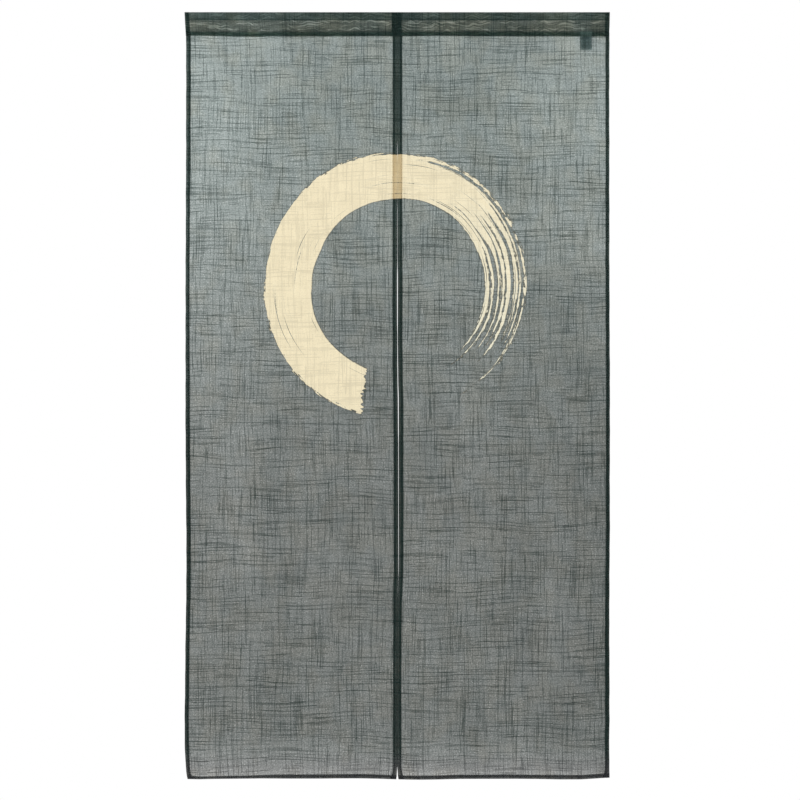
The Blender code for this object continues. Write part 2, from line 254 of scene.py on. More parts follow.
FLOOR_LOOK = {"roughness": 0.7, "grain": (6.0, 6.0, 6.0), "detail": 2.0, "tones": (0.3, 0.7, 0.985, 1.0)}
# How well cloth lets light through against the panels' loose cloth, near the top and lower down.
HEM_CLOTH = (0.53, 0.76)
HEADING_CLOTH = (0.96, 0.96)
FACING_CLOTH = (1.9, 1.9)
HEADING_HEM_CLOTH = (0.50, 0.50)
HEADING_SIDES = 0.3  # how much of the painted extra light at the curtain's sides reaches the heading

# Where the painted light on the cloth changes, painted brighter at its upper left and right, in a band lower
# down and at its foot, and darker towards the bottom: (from, to, value at from, value at to), from 0 to 1
# where no value is given.
LIGHT = {
    "low": (80, 1020),
    "left": (100, 420),
    "left_down": (250, 1350, 0.44, 0.06),
    "right": (150, 400),
    "right_down": (150, 800, 0.20, -0.10),
    "middle_starts": (100, 340),
    "middle_ends": (460, 620, 0.06, 0.0),
    "foot": (1410, 1460, 0.0, 0.24),
    "last_row": (1476, 1490, 0.0, 0.40),
    "cooler_foot": (1360, 1480, 0.0, -0.15),
    # painted light: where the yarn's front is painted paler at the foot
    "foot_lit": (1440, 1485),
}
BASE_GLOW = 0.930
TINT_RANGE = (0.3, 0.7)
# painted light: the light through the cloth is painted cooler where the left is painted brighter, and at the
# foot
COOLER_LEFT = -0.35
MOTTLE_STRENGTH = 0.42
MOTTLE = (11.0, 8.0, 0.0, 2.0)  # patches a metre across and down, shift and detail
TINT = (23.0, 19.0, 5.0, 1.0)
# The strips of the heading: the facing inside it ends, and the allowance inside it begins and is whole.
STRIPS = {
    "facing_ends": (15.0, 17.0),
    "middle_ends": (33.0, 38.0, 1.0, 0.0),
    "allowance_edge": (33.5, 38.5, 1.0, 0.72),
    "allowance": (38.5, 41.0, 0.0, 0.73),
}
HEADING_WARMTH = (1.10, 1.0, 0.95)
TOP_STRIP_WARMTH = (1.215, 1.120, 1.145)
WAVY = {"strips": 0.85, "middle": 0.80}  # how strong the wavy lines are, and how much stronger in the middle
WAVY_LIFT = ((18.0, 34.0, 0.0, 4.4), 11.0)
WAVY_LINES = ((38.0, 2.9, 0.0, 8.8), (0.52, 0.64))
WAVY_PLACES = ((45.0, 14.0, 0.0, 61.0), (0.36, 0.54, 0.10, 1.0))

# ---- yarn
# How rows of yarn wander: the noise as (width, height, detail, shift), and how far.
WEFT_DRIFT = ((150.0, 70.0, 0.0, 0.0), 13.0)
WARP_DRIFT = ((60.0, 160.0, 0.0, 17.7), 7.0)
# Patches of thick and thin yarn: (width, height, how much thicker, shift), sizes on the cloth.
YARNS = (
    (120.0, 3.1, 0.42, 0.0),
    (30.0, 2.5, 0.36, 11.9),
    (2.9, 120.0, 0.42, 7.3),
    (2.4, 27.0, 0.45, 19.1),
    (2.7, 2.5, 1.55, 3.3),
)
# Slubs are thick places in single yarns: (direction, length, yarn pitch, how much thicker, shift, from, to).
SLUBS = (
    ("across", 150.0, 2.5, 1.75, 31.7, 0.64, 0.69),
    ("across", 60.0, 2.2, 1.35, 71.3, 0.65, 0.70),
    ("down", 130.0, 2.3, 1.6, 53.1, 0.64, 0.69),
    ("down", 55.0, 2.1, 1.2, 91.7, 0.65, 0.70),
)
SLUB_PROFILE = (0.18, 0.44, 1.0, -0.2)  # a slub's thickness over its pitch, and the gap beside it
YARN_DIFFERS = 3.71  # how far apart neighbouring yarns lie in the noise
# Where slubs crowd together: the noise, and its range for the least and most of them.
WEFT_BUSY = (70.0, 46.0, 1.0, 41.3)
WARP_BUSY = (46.0, 70.0, 1.0, 83.9)
BUSY = (0.35, 0.62, 0.60, 1.10)
PINHOLES = (2.2, 2.2, 0.0, 27.1)  # tiny thin places
PINHOLE_DEPTH = (0.70, 0.80, 0.0, -0.9)

# ---- camera and room
LENS = 100.0
SENSOR = 36.0
VIEW_CENTRE = (5.4, 758.8)  # across and drop of the photograph's middle
VIEW_HEIGHT = 800 * PHOTO_PIXEL
FLOOR_DROP = 1760.0
FLOOR_RADIUS = 1050.0
FLOOR_CORNERS = 96
LAMP = {"size": 2.4, "power": 30.0, "place": (-2.2, -3.2, 1.2)}  # in metres and watts


# ---- shapes
def smooth_step(low, high, value):
    share = np.clip((np.asarray(value, float) - low) / (high - low), 0.0, 1.0)
    return share * share * (3.0 - 2.0 * share)


def along(table, column, value):
    """The table's column at value of its first column, on straight lines between the rows."""
    key = next(iter(table))
    return np.interp(value, table[key], table[column])


def running(steps):
    """How far each place lies along a line, from the steps between the places."""
    return np.concatenate([[0.0], np.cumsum(steps)])


def spread_over(start, end, pitch):
    """Places from start to end, both included, at most pitch apart."""
    return np.linspace(start, end, math.ceil(abs(end - start) / pitch) + 1)


def line_waves(place, shift=0.0):
    """The small unevenness of a sewn line."""
    turns = 2 * np.pi * np.asarray(place)
    return sum(size * np.sin(turns / length + phase + shift) for size, length, phase in EDGE_WAVES)


def face_waves(across, drop, waves):
    """The soft unevenness of a hanging face."""
    return sum(
        size * np.sin(2 * np.pi * (across / wide + drop / long) + phase)
        for size, wide, long, phase in waves
    )


def long_edge(name, drop):
    """How far across one long edge of a panel lies."""
    if name in ("left", "right"):
        waves = line_waves(drop, 0.0 if name == "left" else 1.0)
        return along(LONG_EDGES, name, drop) + EDGE_SHIFT[name] + waves
    half = along(SLIT, "gap", drop) / 2
    return along(SLIT, "middle", drop) + (half if name == "slit_right" else -half)


def hem_width(name, drop):
    """How wide the side hem is there."""
    return HEM_WIDTHS[name] * along(HEM_SHARES, name, drop)


def fold_depth(across, drop):
    """How far the middle of the cloth lies behind the plane of its top edge, as in the solids."""
    depth = -HEM_CURL["forward"] * smooth_step(LENGTH - HEM_CURL["reach"], LENGTH, drop)
    for fold in FOLDS:
        middle = np.interp(drop, (0.0, LENGTH), (fold["top"], fold["bottom"]))
        growth = smooth_step(fold["starts"], fold["starts"] + FOLD_GROWS_OVER, drop)
        depth = depth + fold["depth"] * growth * np.exp(-(((across - middle) / fold["half_width"]) ** 2))
    return depth


Hem = namedtuple("Hem", "inset level facing cut")
Columns = namedtuple("Columns", "share offset level hem cut")
Lines = namedtuple("Lines", "drop level facing cut in_hem")
Rows = namedtuple("Rows", "drop base bulge facing pressed cut turned")
# Turned is 0 in a front layer, 1 or 2 in a turned one, and 3 in an end hem of the heading.
Grid = namedtuple("Grid", "across depth drop cut_across cut_down turned")


def turned_hem(width):
    """The lines of a double-turned hem, from its raw edge out and round to the front layer.

    Inset and cut are how far in from its edge a line lies, sewn and flat. Level is 1 inside, 2 at the back
    and 0 in front. Facing is 1 where the cloth's face looks forward and -1 where it looks back.
    """
    raw = [(width - TURNED_IN * share, 1.0, 1.0) for share in (1.0, 0.7, 0.4)]
    inner_fold = [(width - 0.5, 1.0, 1.0), (width - 0.1, 1.2, 0.6)]
    inner_fold += [(width, 1.5, 0.0), (width - 0.1, 1.8, -0.6)]
    back = [(width * share, 2.0, -1.0) for share in (0.93, 0.7, 0.45, 0.2)]
    outer_fold = [(0.6, 2.0, -1.0), (0.15, 1.7, -0.7), (0.0, 1.0, 0.0), (0.15, 0.3, 0.7), (0.6, 0.0, 1.0)]
    front = [(width * share, 0.0, 1.0) for share in (0.25, 0.5, 0.75, 1.0)]
    inset, level, facing = np.array(raw + inner_fold + back + outer_fold + front).T
    length = running(np.hypot(np.diff(inset), LAYER_GAP * np.diff(level)))
    return Hem(inset, level, facing, length - length[-1] + width)


def cloth_columns(left, right, left_width, right_width):
    """The lines of points down a piece hemmed at both sides, whose flat edges are left and right.

    A line lies at share of the way across and offset to the right of that. Hem is 1 in a side hem.
    """
    left_hem, right_hem = turned_hem(left_width), turned_hem(right_width)
    inner = spread_over(left + left_width, right - right_width, COLUMN_PITCH)[1:-1]
    share = (inner - inner[0]) / (inner[-1] - inner[0]) * 0.98 + 0.01
    inner_offset = left_width * (1 - share) - right_width * share
    zeros = np.zeros(len(inner))
    parts = (
        (0 * left_hem.inset, share, 0 * right_hem.inset + 1.0),
        (left_hem.inset, inner_offset, -right_hem.inset[::-1]),
        (left_hem.level, zeros, right_hem.level[::-1]),
        (0 * left_hem.inset + 1.0, zeros, 0 * right_hem.inset + 1.0),
        (left + left_hem.cut, inner, right - right_hem.cut[::-1]),
    )
    return Columns(*(np.concatenate(part) for part in parts))


def panel_lines():
    """The lines of points across a panel, from above its seam down and round its bottom hem."""
    hem = Hem(*(part[::-1][1:] for part in turned_hem(BOTTOM_HEM)))
    loose = spread_over(SEAM_DROP, LENGTH - BOTTOM_HEM, ROW_PITCH)[1:]
    main = np.concatenate([[SEAM_DROP - SEAM_TUCK, SEAM_DROP], loose])
    pairs = (
        (main, LENGTH - hem.inset),
        (0 * main, hem.level),
        (0 * main + 1.0, hem.facing),
        (main, LENGTH - hem.cut),
        (0 * main, 0 * hem.level + 1.0),
    )
    return Lines(*(np.concatenate(pair)[:, None] for pair in pairs))


def side_hem_scale(columns, names, drop):
    """The width of a panel's side hems against their full width. They bunch up at the lower corners."""
    left, right = (along(HEM_SHARES, name, drop) for name in names)
    corner = np.exp(-(((LENGTH - drop) / CORNER_REACH) ** 2))
    scale = np.where(columns.share < 0.5, left, right) * (1.0 + CORNER_SPREAD * corner)
    scale = scale + HEM_UNEVEN["side"] * line_waves(drop, 2.2)
    return np.where(columns.hem > 0, scale, 1.0)


def panel_drop(columns, lines, across):
    """How far down the points of a panel hang, between its seam and its uneven lower edge."""
    drop = lines.drop
    start = along(SEAM_EDGE, "drop", across)
    end = along(BOTTOM_EDGE, "drop", across)
    share = np.clip((drop - SEAM_DROP) / (LENGTH - BOTTOM_HEM - SEAM_DROP), -1.0, 1.0)
    hanging = start + (end - BOTTOM_HEM - start) * share
    hanging = np.where(drop < SEAM_DROP, start - (SEAM_DROP - drop), hanging)
    hem_share = along(BOTTOM_HEM_SHARE, "share", across)
    narrower = BOTTOM_HEM * (1.0 - hem_share)
    hanging = hanging + narrower * smooth_step(LENGTH - 60.0, LENGTH - BOTTOM_HEM, drop)
    hem_share = hem_share + HEM_UNEVEN["bottom"] * line_waves(across, 3.0)
    turned = end - (LENGTH - drop) * hem_share - 0.2 * columns.level
    return np.where(lines.in_hem > 0, turned, hanging)


def panel_depth(columns, lines, across, down, from_edge):
    """How far back the points of a panel lie: its folds, its unevenness and the layers of its hems."""
    drop, level = lines.drop, lines.level
    corner = smooth_step(LENGTH - 2 * CORNER_REACH, LENGTH - BOTTOM_HEM, drop)
    freed = smooth_step(SEAM_DROP - 2, SEAM_DROP + 8, drop)
    pressed = (1.0 - (1.0 - CORNER_PRESSED) * corner) * (BAND_PRESSED + (1.0 - BAND_PRESSED) * freed)
    side = LAYER_GAP * pressed
    stack = 2 * side * columns.hem
    base = np.minimum(level, 1.0) * (LAYER_GAP + stack)
    base = base + np.maximum(level - 1.0, 0.0) * (LAYER_GAP + 2 * stack)
    gather = np.exp(-(((from_edge - PUCKER["inset"]) / PUCKER["reach"]) ** 2))
    gather = gather * smooth_step(SEAM_DROP, SEAM_DROP + 20, drop)
    puckers = np.sin(2 * np.pi * down / PUCKER["length"] + 0.9 * line_waves(down))
    waves = face_waves(across, down, FACE_WAVES) * smooth_step(SEAM_DROP, SEAM_DROP + 60, drop)
    waves = waves + PUCKER["depth"] * gather * puckers
    return fold_depth(across, down) + waves + base + lines.facing * side * columns.level


def panel_grid(names):
    """The points of a hanging panel. Names are those of its two long edges."""
    flat = [float(long_edge(name, SEAM_DROP)) for name in names]
    columns = cloth_columns(*flat, *(HEM_WIDTHS[name] for name in names))
    lines = panel_lines()
    left, right = (long_edge(name, lines.drop) for name in names)
    scale = side_hem_scale(columns, names, lines.drop)
    across = left + (right - left) * columns.share + columns.offset * scale
    down = panel_drop(columns, lines, across)
    from_edge = np.minimum(across - left, right - across)
    depth = panel_depth(columns, lines, across, down, from_edge)
    turned = np.maximum(columns.level + 0 * down, lines.level)
    return Grid(across, depth, down, columns.cut + 0 * down, lines.cut + 0 * down, turned)


def band_rows(layers, facing):
    """The lines of the doubled band, from its raw edge inside round the lower fold and up its outer layer."""
    inside, *fold, outside = layers
    near_fold = BAND_FOOT - 0.1
    rows = [(drop, inside, 0.0, -facing) for drop in ALLOWANCE]
    for drop, base, turn in zip((near_fold, BAND_FOOT, near_fold), fold, (-0.5, 0.0, 0.5)):
        rows.append((drop, base, 0.0, turn * facing))
    return rows + [(drop, outside, 0.0, facing) for drop in np.linspace(ALLOWANCE[-1], POCKET_DROP, 5)]


def sleeve_rows():
    """The lines round the heading's sleeve, from the raw edge in its front round to the one in its back.

    A line's depth is base, and bulge times how far the pocket stands open there.
    """
    front, back = band_rows(BAND_LAYERS["front"], 1.0), band_rows(BAND_LAYERS["back"], -1.0)
    for part in np.linspace(0.0, 1.0, 19)[1:]:
        drop = POCKET_DROP + (1.0 - POCKET_DROP) * part
        rise = max(math.sin(math.pi * part), 0.0)
        front.append((drop, -0.5 - 0.25 * (1 - part) ** 6, -FRONT_BULGE * rise, 1.0))
        back.append((drop, 0.5 + 1.0 * (1 - part) ** 10, BACK_BULGE * rise**BACK_FULLNESS, -1.0))
    rows = [*front, *SLEEVE_TOP, *back[::-1]]
    drop, base, bulge, facing = np.array(rows).T
    length = running(np.hypot(np.diff(drop), np.diff(base + bulge)))
    start = int(np.argmax(drop <= 30.0))
    rising = smooth_step(0.0, 2.0, np.abs(bulge))
    pressed = BAND_PRESSED * (1 - rising) + rising
    inside = np.arange(len(drop)) < len(ALLOWANCE) + 2
    turned = 1.0 * (inside | inside[::-1])
    parts = (drop, base, bulge, facing, pressed, length[start] - length + drop[start], turned)
    return Rows(*(part[:, None] for part in parts))


def sleeve_edges(side, drop):
    """The left and right ends of one half of the heading at a drop."""
    ends = HEADING_LEFT if side == "left" else HEADING_RIGHT
    end = ends["top"] + (ends["bottom"] - ends["top"]) * drop / BAND_FOOT
    join = MIDDLE_JOIN + 0 * drop
    return (end, join) if side == "left" else (join, end)


def band_drop(across, drop):
    """A drop in the sewn band, stretched to where the heading's lower edge is at that place."""
    lower = along(SEAM_EDGE, "drop", across) + BAND_LOWER
    share = np.clip((drop - POCKET_DROP) / (BAND_FOOT - POCKET_DROP), 0.0, None)
    return np.where(drop > POCKET_DROP, POCKET_DROP + share * (lower - POCKET_DROP), drop)


def front_wall(across, drop):
    """How far the front wall of the pocket bulges there, and how much of that is the wall's rise."""
    rise = FRONT_BULGE * np.sin(np.pi * np.clip((POCKET_DROP - drop) / (POCKET_DROP - 1.0), 0.0, 1.0))
    return -rise * along(POCKET_OPEN, "share", across), rise


def sleeve_grid(side):
    """The points of one half of the heading's sleeve."""
    rows = sleeve_rows()
    left, right = sleeve_edges(side, rows.drop)
    ends = ("left", "middle") if side == "left" else ("middle", "right")
    columns = cloth_columns(float(left[-1, 0]), float(right[-1, 0]), *(END_HEMS[end] for end in ends))
    across = left + (right - left) * columns.share + columns.offset
    loose = np.where(rows.bulge < 0, LOOSE["front"], LOOSE["back"])
    loose = loose * smooth_step(0.0, 1.2, np.abs(rows.bulge))
    depth = rows.base + rows.bulge * along(POCKET_OPEN, "share", across)
    depth = depth + face_waves(across, rows.cut, SLEEVE_WAVES) * loose
    depth = depth + rows.facing * LAYER_GAP * rows.pressed * columns.level
    turned = np.where(columns.level > 0, 3.0, rows.turned)
    down = band_drop(across, rows.drop)
    return Grid(across, depth, down, columns.cut + 0 * down, rows.cut + 0 * down, turned)


def facing_grid(side):
    """The turned edge that lies inside the front wall of the pocket, with its own end turned up."""
    near_fold = FACING["drop"] - 0.3
    hanging = np.linspace(FACING["top"], near_fold, 8)
    turned_up = np.linspace(near_fold, FACING["drop"] - FACING["turn"], 3)
    drop = np.concatenate([hanging, [FACING["drop"]], turned_up])[:, None]
    behind = np.repeat(FACING["depths"], (8, 1, 3))[:, None]
    left, right = sleeve_edges(side, drop)
    inset = FACING["inset"]
    flat = spread_over(float(left[0, 0]) + inset, float(right[0, 0]) - inset, COLUMN_PITCH)
    share = (flat - flat[0]) / (flat[-1] - flat[0])
    across = left + inset + (right - left - 2 * inset) * share
    bulge, rise = front_wall(across, drop)
    waves = face_waves(across, drop, SLEEVE_WAVES) * LOOSE["front"] * smooth_step(0.0, 1.2, rise)
    line = running(np.abs(np.diff(drop[:, 0])) + 0.05)[:, None]
    down = drop + 0.4 * line_waves(across) * (line > 8)
    zeros = 0 * across
    return Grid(across, behind + bulge + waves, down, flat + zeros, FACING["cut"] + line + zeros, 1.0 + zeros)


def label_grid():
    """The label: one short tape folded in half, its raw ends sewn into the band."""
    front = np.linspace(LABEL["top"], LABEL["bottom"] - 0.4, 14)
    fold = [LABEL["bottom"] - 0.1, LABEL["bottom"], LABEL["bottom"] - 0.1]
    drop = np.concatenate([front, fold, front[::-1]])[:, None]
    behind = np.repeat((0.25, 0.35, 0.5, 0.65, 0.75), (14, 1, 1, 1, 14))[:, None]
    across = np.linspace(LABEL["left"], LABEL["right"], 9) + 0.25 * np.sin(drop / 11.0)
    bend = smooth_step(LABEL_BEND["from"], LABEL_BEND["to"], drop)
    hanging = LABEL_FACE["hanging"] + fold_depth(across, drop)
    face = LABEL_FACE["band"] + (hanging - LABEL_FACE["band"]) * bend
    curl = 0.5 * bend * np.sin(np.pi * (across - LABEL["left"]) / (LABEL["right"] - LABEL["left"]))
    line = running(np.abs(np.diff(drop[:, 0])) + 0.02)[:, None]
    zeros = 0 * across
    return Grid(across, face + behind + curl, drop + zeros, across, line + zeros, zeros)


# ---- meshes
def add_object(name, data):
    thing = bpy.data.objects.new(name, data)
    bpy.context.scene.collection.objects.link(thing)
    return thing


def plain_object(name, vertices, faces, material):
    """An object of one material."""
    mesh = bpy.data.meshes.new(name)
    mesh.from_pydata(vertices, [], faces)
    mesh.materials.append(material)
    return add_object(name, mesh)


def sheet_object(name, grids, materials, material_of=None):
    """One sheet made of grids of points. Its UV map says where a point lay in the flat cloth, in metres."""
    vertices, faces, cuts, turned, first = [], [], [], [], 0
    for grid in grids:
        rows, columns = grid.across.shape
        index = first + np.arange(rows * columns).reshape(rows, columns)
        corners = (index[:-1, :-1], index[1:, :-1], index[1:, 1:], index[:-1, 1:])
        faces.append(np.stack(corners, axis=-1).reshape(-1, 4))
        points = np.stack([grid.across, grid.depth, -grid.drop], axis=-1)
        vertices.append(points.reshape(-1, 3) * MM)
        cuts.append(np.stack([grid.cut_across, grid.cut_down], axis=-1).reshape(-1, 2) * MM)
        turned.append(grid.turned.ravel())
        first += rows * columns
    vertices, faces, cuts, turned = (np.concatenate(part) for part in (vertices, faces, cuts, turned))
    mesh = bpy.data.meshes.new(name)
    mesh.from_pydata(vertices.tolist(), [], faces.tolist())
    layer = mesh.uv_layers.new(name="cut")
    layer.data.foreach_set("uv", cuts[faces.ravel()].astype(np.float32).ravel())
    for material in materials:
        mesh.materials.append(material)
    if material_of is not None:
        chosen = material_of(vertices[faces].mean(axis=1), turned[faces].mean(axis=1))
        mesh.polygons.foreach_set("material_index", chosen.astype(np.int32))
    mesh.shade_smooth()
    mesh.validate()
    return add_object(name, mesh)


def layer_and_print(middles, turned):
    """The material of each face: 0 for the front layer, 1 where the ring may reach, 2 for turned layers."""
    across, drop = middles[:, 0] / MM - RING["across"], -middles[:, 2] / MM - RING["drop"]
    radius = np.hypot(across, drop)
    near_ring = (radius > RING_FACES[0]) & (radius < RING_FACES[1])
    return np.where(turned > 0.7, 2, np.where(near_ring, 1, 0))


def heading_layers(middles, turned):
    """2 for the end hems of the heading, 1 for the turned layers inside it, and 0 for its walls."""
    return np.where(turned > 1.2, 2, np.where(turned > 0.7, 1, 0))


# ---- stitches
def stitch_line(across, depth, drop, outward):
    """(middle, direction, outward) for each stitch along a line of places, at the pitch of the stitches."""
    places = np.stack([across, depth + 0 * across, -drop], axis=-1)
    length = running(np.linalg.norm(np.diff(places, axis=0), axis=1))
    middles = np.arange(STITCH["pitch"] / 2, length[-1], STITCH["pitch"])
    back, spots, ahead = (
        np.stack([np.interp(middles + step, length, places[:, axis]) for axis in range(3)], axis=-1)
        for step in (-1.0, 0.0, 1.0)
    )
    direction = ahead - back
    direction /= np.linalg.norm(direction, axis=1, keepdims=True)
    return spots, direction, np.tile(outward, (len(spots), 1))


def stitches_object(name, lines, material):
    """Short plump threads along lines of stitches, joined into one piece."""
    spots, direction, outward = (np.concatenate([line[part] for line in lines]) for part in range(3))
    side = np.cross(direction, outward)
    sides = STITCH["sides"]
    vertices = []
    for place, size, height in STITCH_RINGS:
        middle = spots + direction * place * STITCH["length"] / 2 + outward * height
        for angle in 2 * np.pi * np.arange(sides) / sides:
            spoke = side * math.cos(angle) + outward * math.sin(angle)
            vertices.append(middle + spoke * size * STITCH["radius"])
    each = len(vertices)
    vertices = np.stack(vertices, axis=1).reshape(-1, 3) * MM
    one = []
    for low in range(each - sides):
        high = low - low % sides + (low + 1) % sides
        one.append([low, high, high + sides, low + sides])
    one += [list(range(sides))[::-1], list(range(each - sides, each))]
    faces = [[corner + each * number for corner in face] for number in range(len(spots)) for face in one]
    piece = plain_object(name, vertices.tolist(), faces, material)
    piece.data.shade_smooth()
    return piece


def panel_seams(names):
    """The lines of stitches of a panel: down both side hems and along the bottom hem, on both faces."""
    inset = BOTTOM_HEM - STITCH_INSET
    drop = np.arange(SEAM_DROP + 3.0, LENGTH - inset, SEAM_STEP)
    left, right = (
        long_edge(name, drop) + inward * (hem_width(name, drop) - STITCH_INSET)
        for name, inward in zip(names, (1, -1))
    )
    bottom = np.arange(left[-1], right[-1], SEAM_STEP)
    bottom_drop = along(BOTTOM_EDGE, "drop", bottom) - inset * along(BOTTOM_HEM_SHARE, "share", bottom)
    lines = []
    for across, down in ((left, drop), (right, drop), (bottom, bottom_drop)):
        middle = fold_depth(across, down) + face_waves(across, down, FACE_WAVES)
        lines.append(stitch_line(across, middle, down, FORWARD))
        lines.append(stitch_line(across, middle + 2 * LAYER_GAP, down, BACKWARD))
    return lines


def heading_seams():
    """The lines of stitches of the heading: two through the sewn band and one that holds the facing."""
    across = np.arange(HEADING_LEFT["bottom"] + 1.5, HEADING_RIGHT["bottom"] - 1.5, SEAM_STEP)
    lines = []
    for drop in BAND_SEAMS["drops"]:
        down = band_drop(across, np.full(len(across), drop)) + 0.3 * line_waves(across)
        lines.append(stitch_line(across, BAND_SEAMS["front"], down, FORWARD))
        lines.append(stitch_line(across, BAND_SEAMS["back"], down, BACKWARD))
    drop = FACING["seam"] + 0.4 * line_waves(across)
    waves = face_waves(across, drop, SLEEVE_WAVES) * LOOSE["front"]
    depth = FACING["seam_depth"] + front_wall(across, drop)[0] + waves
    lines.append(stitch_line(across, depth, drop, FORWARD))
    return lines


def joining_seam():
    """Stitches across the line where the two panels are sewn edge to edge."""
    drops = np.arange(SEAM_DROP + 3.0, SEWN_DOWN_TO, CROSS_STITCH["pitch"])
    across = along(SLIT, "middle", drops)
    slant = np.array([1.0, 0.0, CROSS_STITCH["slant"]]) / math.hypot(1.0, CROSS_STITCH["slant"])
    direction = np.tile(slant, (len(drops), 1))
    lines = []
    for depth, outward in ((-0.05, FORWARD), (2 * LAYER_GAP + 0.05, BACKWARD)):
        spots = np.stack([across, fold_depth(across, drops) + depth, -drops], axis=-1)
        lines.append((spots, direction, np.tile(outward, (len(spots), 1))))
    return lines


# ---- materials
class Nodes:
    """The nodes of one material, made by short calls that take numbers or sockets."""

    def __init__(self, name):
        self.material = bpy.data.materials.new(name)
        self.material.use_nodes = True
        self.tree = self.material.node_tree
        self.tree.nodes.clear()

    def put(self, socket, value):
        if isinstance(value, bpy.types.NodeSocket):
            self.tree.links.new(value, socket)
        else:
            socket.default_value = (*value, 1.0) if socket.type == "RGBA" else value

    def node(self, kind, *values, **named):
        """A new node. A name in lower case is one of its settings, and any other is an input."""
        node = self.tree.nodes.new("ShaderNode" + kind)
        for name, value in named.items():
            if name.islower():
                setattr(node, name, value)
            else:
                self.put(node.inputs[name.replace("_", " ")], value)
        for socket, value in zip(node.inputs, values):
            self.put(socket, value)
        return node

    def made(self, kind, *values, **named):
        """The first output of a new node."""
        return self.node(kind, *values, **named).outputs[0]

    def math(self, operation, *values):
        return self.made("Math", *values, operation=operation)

    def add(self, *values):
        return functools.reduce(lambda total, value: self.math("ADD", total, value), values)

    def times(self, *values):
        return functools.reduce(lambda total, value: self.math("MULTIPLY", total, value), values)

    def minus(self, value, taken_off):
        return self.math("SUBTRACT", value, taken_off)

    def vector(self, operation, *values):
        return self.made("VectorMath", *values, operation=operation)

    def scaled(self, colour, factor):
        """A colour times a number."""
        return self.made("VectorMath", colour, operation="SCALE", Scale=factor)

    def combine(self, x, y):
        return self.made("CombineXYZ", x, y)

    def separate(self, place):
        return tuple(self.node("SeparateXYZ", place).outputs)

    def noise(self, place, detail=0.0):
        return self.made("TexNoise", place, noise_dimensions="2D", Scale=1.0, Detail=detail)

    def range(self, value, low, high, new_low=0.0, new_high=1.0, smooth=True):
        kind = "SMOOTHSTEP" if smooth else "LINEAR"
        return self.made("MapRange", value, low, high, new_low, new_high, interpolation_type=kind)

    def mix(self, share, first, second):
        """A blend of two colours."""
        node = self.node("Mix", share, data_type="RGBA")
        self.put(node.inputs[6], first)
        self.put(node.inputs[7], second)
        return node.outputs[2]

    def finish(self, surface):
        self.node("OutputMaterial", surface)
        return self.material


def streaks(n, place, wide, long, detail=0.0, shift=0.0):
    """Noise whose patches are this wide and long, in millimetres of cloth."""
    scaled = n.vector("MULTIPLY", place, (1 / (wide * MM), 1 / (long * MM), 1.0))
    return n.noise(n.vector("ADD", scaled, (shift, shift * 0.37, 0.0)), detail)


def drift(n, place, noise, reach):
    """How far something wanders to either side there, in metres, for a reach in millimetres."""
    return n.times(n.minus(streaks(n, place, *noise), 0.5), reach * MM)


def single_yarns(n, ahead, beside, length, pitch, shift, low, high):
    """Thick places in yarns side by side, each yarn uneven in its own way, from 0 to 1."""
    place = n.times(beside, 1 / (pitch * MM))
    yarn = n.math("FLOOR", place)
    off = n.math("ABSOLUTE", n.minus(n.minus(place, yarn), 0.5))
    own = n.add(n.times(yarn, YARN_DIFFERS), shift)
    uneven = n.noise(n.combine(n.times(ahead, 1 / (length * MM)), own))
    return n.times(n.range(uneven, low, high), n.range(off, *SLUB_PROFILE))


def yarn_thickness(n, cut):
    """How thick the yarns are at a place in the cloth, about 1, with slubs in both directions."""
    weft = n.vector("ADD", cut, n.combine(0.0, drift(n, cut, *WEFT_DRIFT)))
    warp = n.vector("ADD", cut, n.combine(drift(n, cut, *WARP_DRIFT), 0.0))
    weft_busy = n.range(streaks(n, cut, *WEFT_BUSY), *BUSY)
    warp_busy = n.range(streaks(n, cut, *WARP_BUSY), *BUSY)
    thick = 1.0
    for wide, long, strength, shift in YARNS:
        patch = streaks(n, weft if wide > long else warp, wide, long, 0.0, shift)
        thick = n.add(thick, n.times(n.minus(patch, 0.5), strength))
    for direction, length, pitch, strength, *unevenness in SLUBS:
        if direction == "across":
            (ahead, beside, _), busy = n.separate(weft), weft_busy
        else:
            (beside, ahead, _), busy = n.separate(warp), warp_busy
        slub = single_yarns(n, ahead, beside, length, pitch, *unevenness)
        thick = n.add(thick, n.times(slub, busy, strength))
    return n.add(thick, n.range(streaks(n, cut, *PINHOLES), *PINHOLE_DEPTH))


def across_and_drop(n):
    """The place on the hanging curtain, in millimetres."""
    across, _, up = n.separate(n.node("TexCoord").outputs["Object"])
    return n.times(across, 1 / MM), n.times(up, -1 / MM)


def patches(n, across, drop, per_metre_across, per_metre_down, shift, detail):
    """Large soft patches on the hanging curtain."""
    up = n.add(n.times(drop, -per_metre_down * MM), shift)
    return n.noise(n.combine(n.times(across, per_metre_across * MM), up), detail)


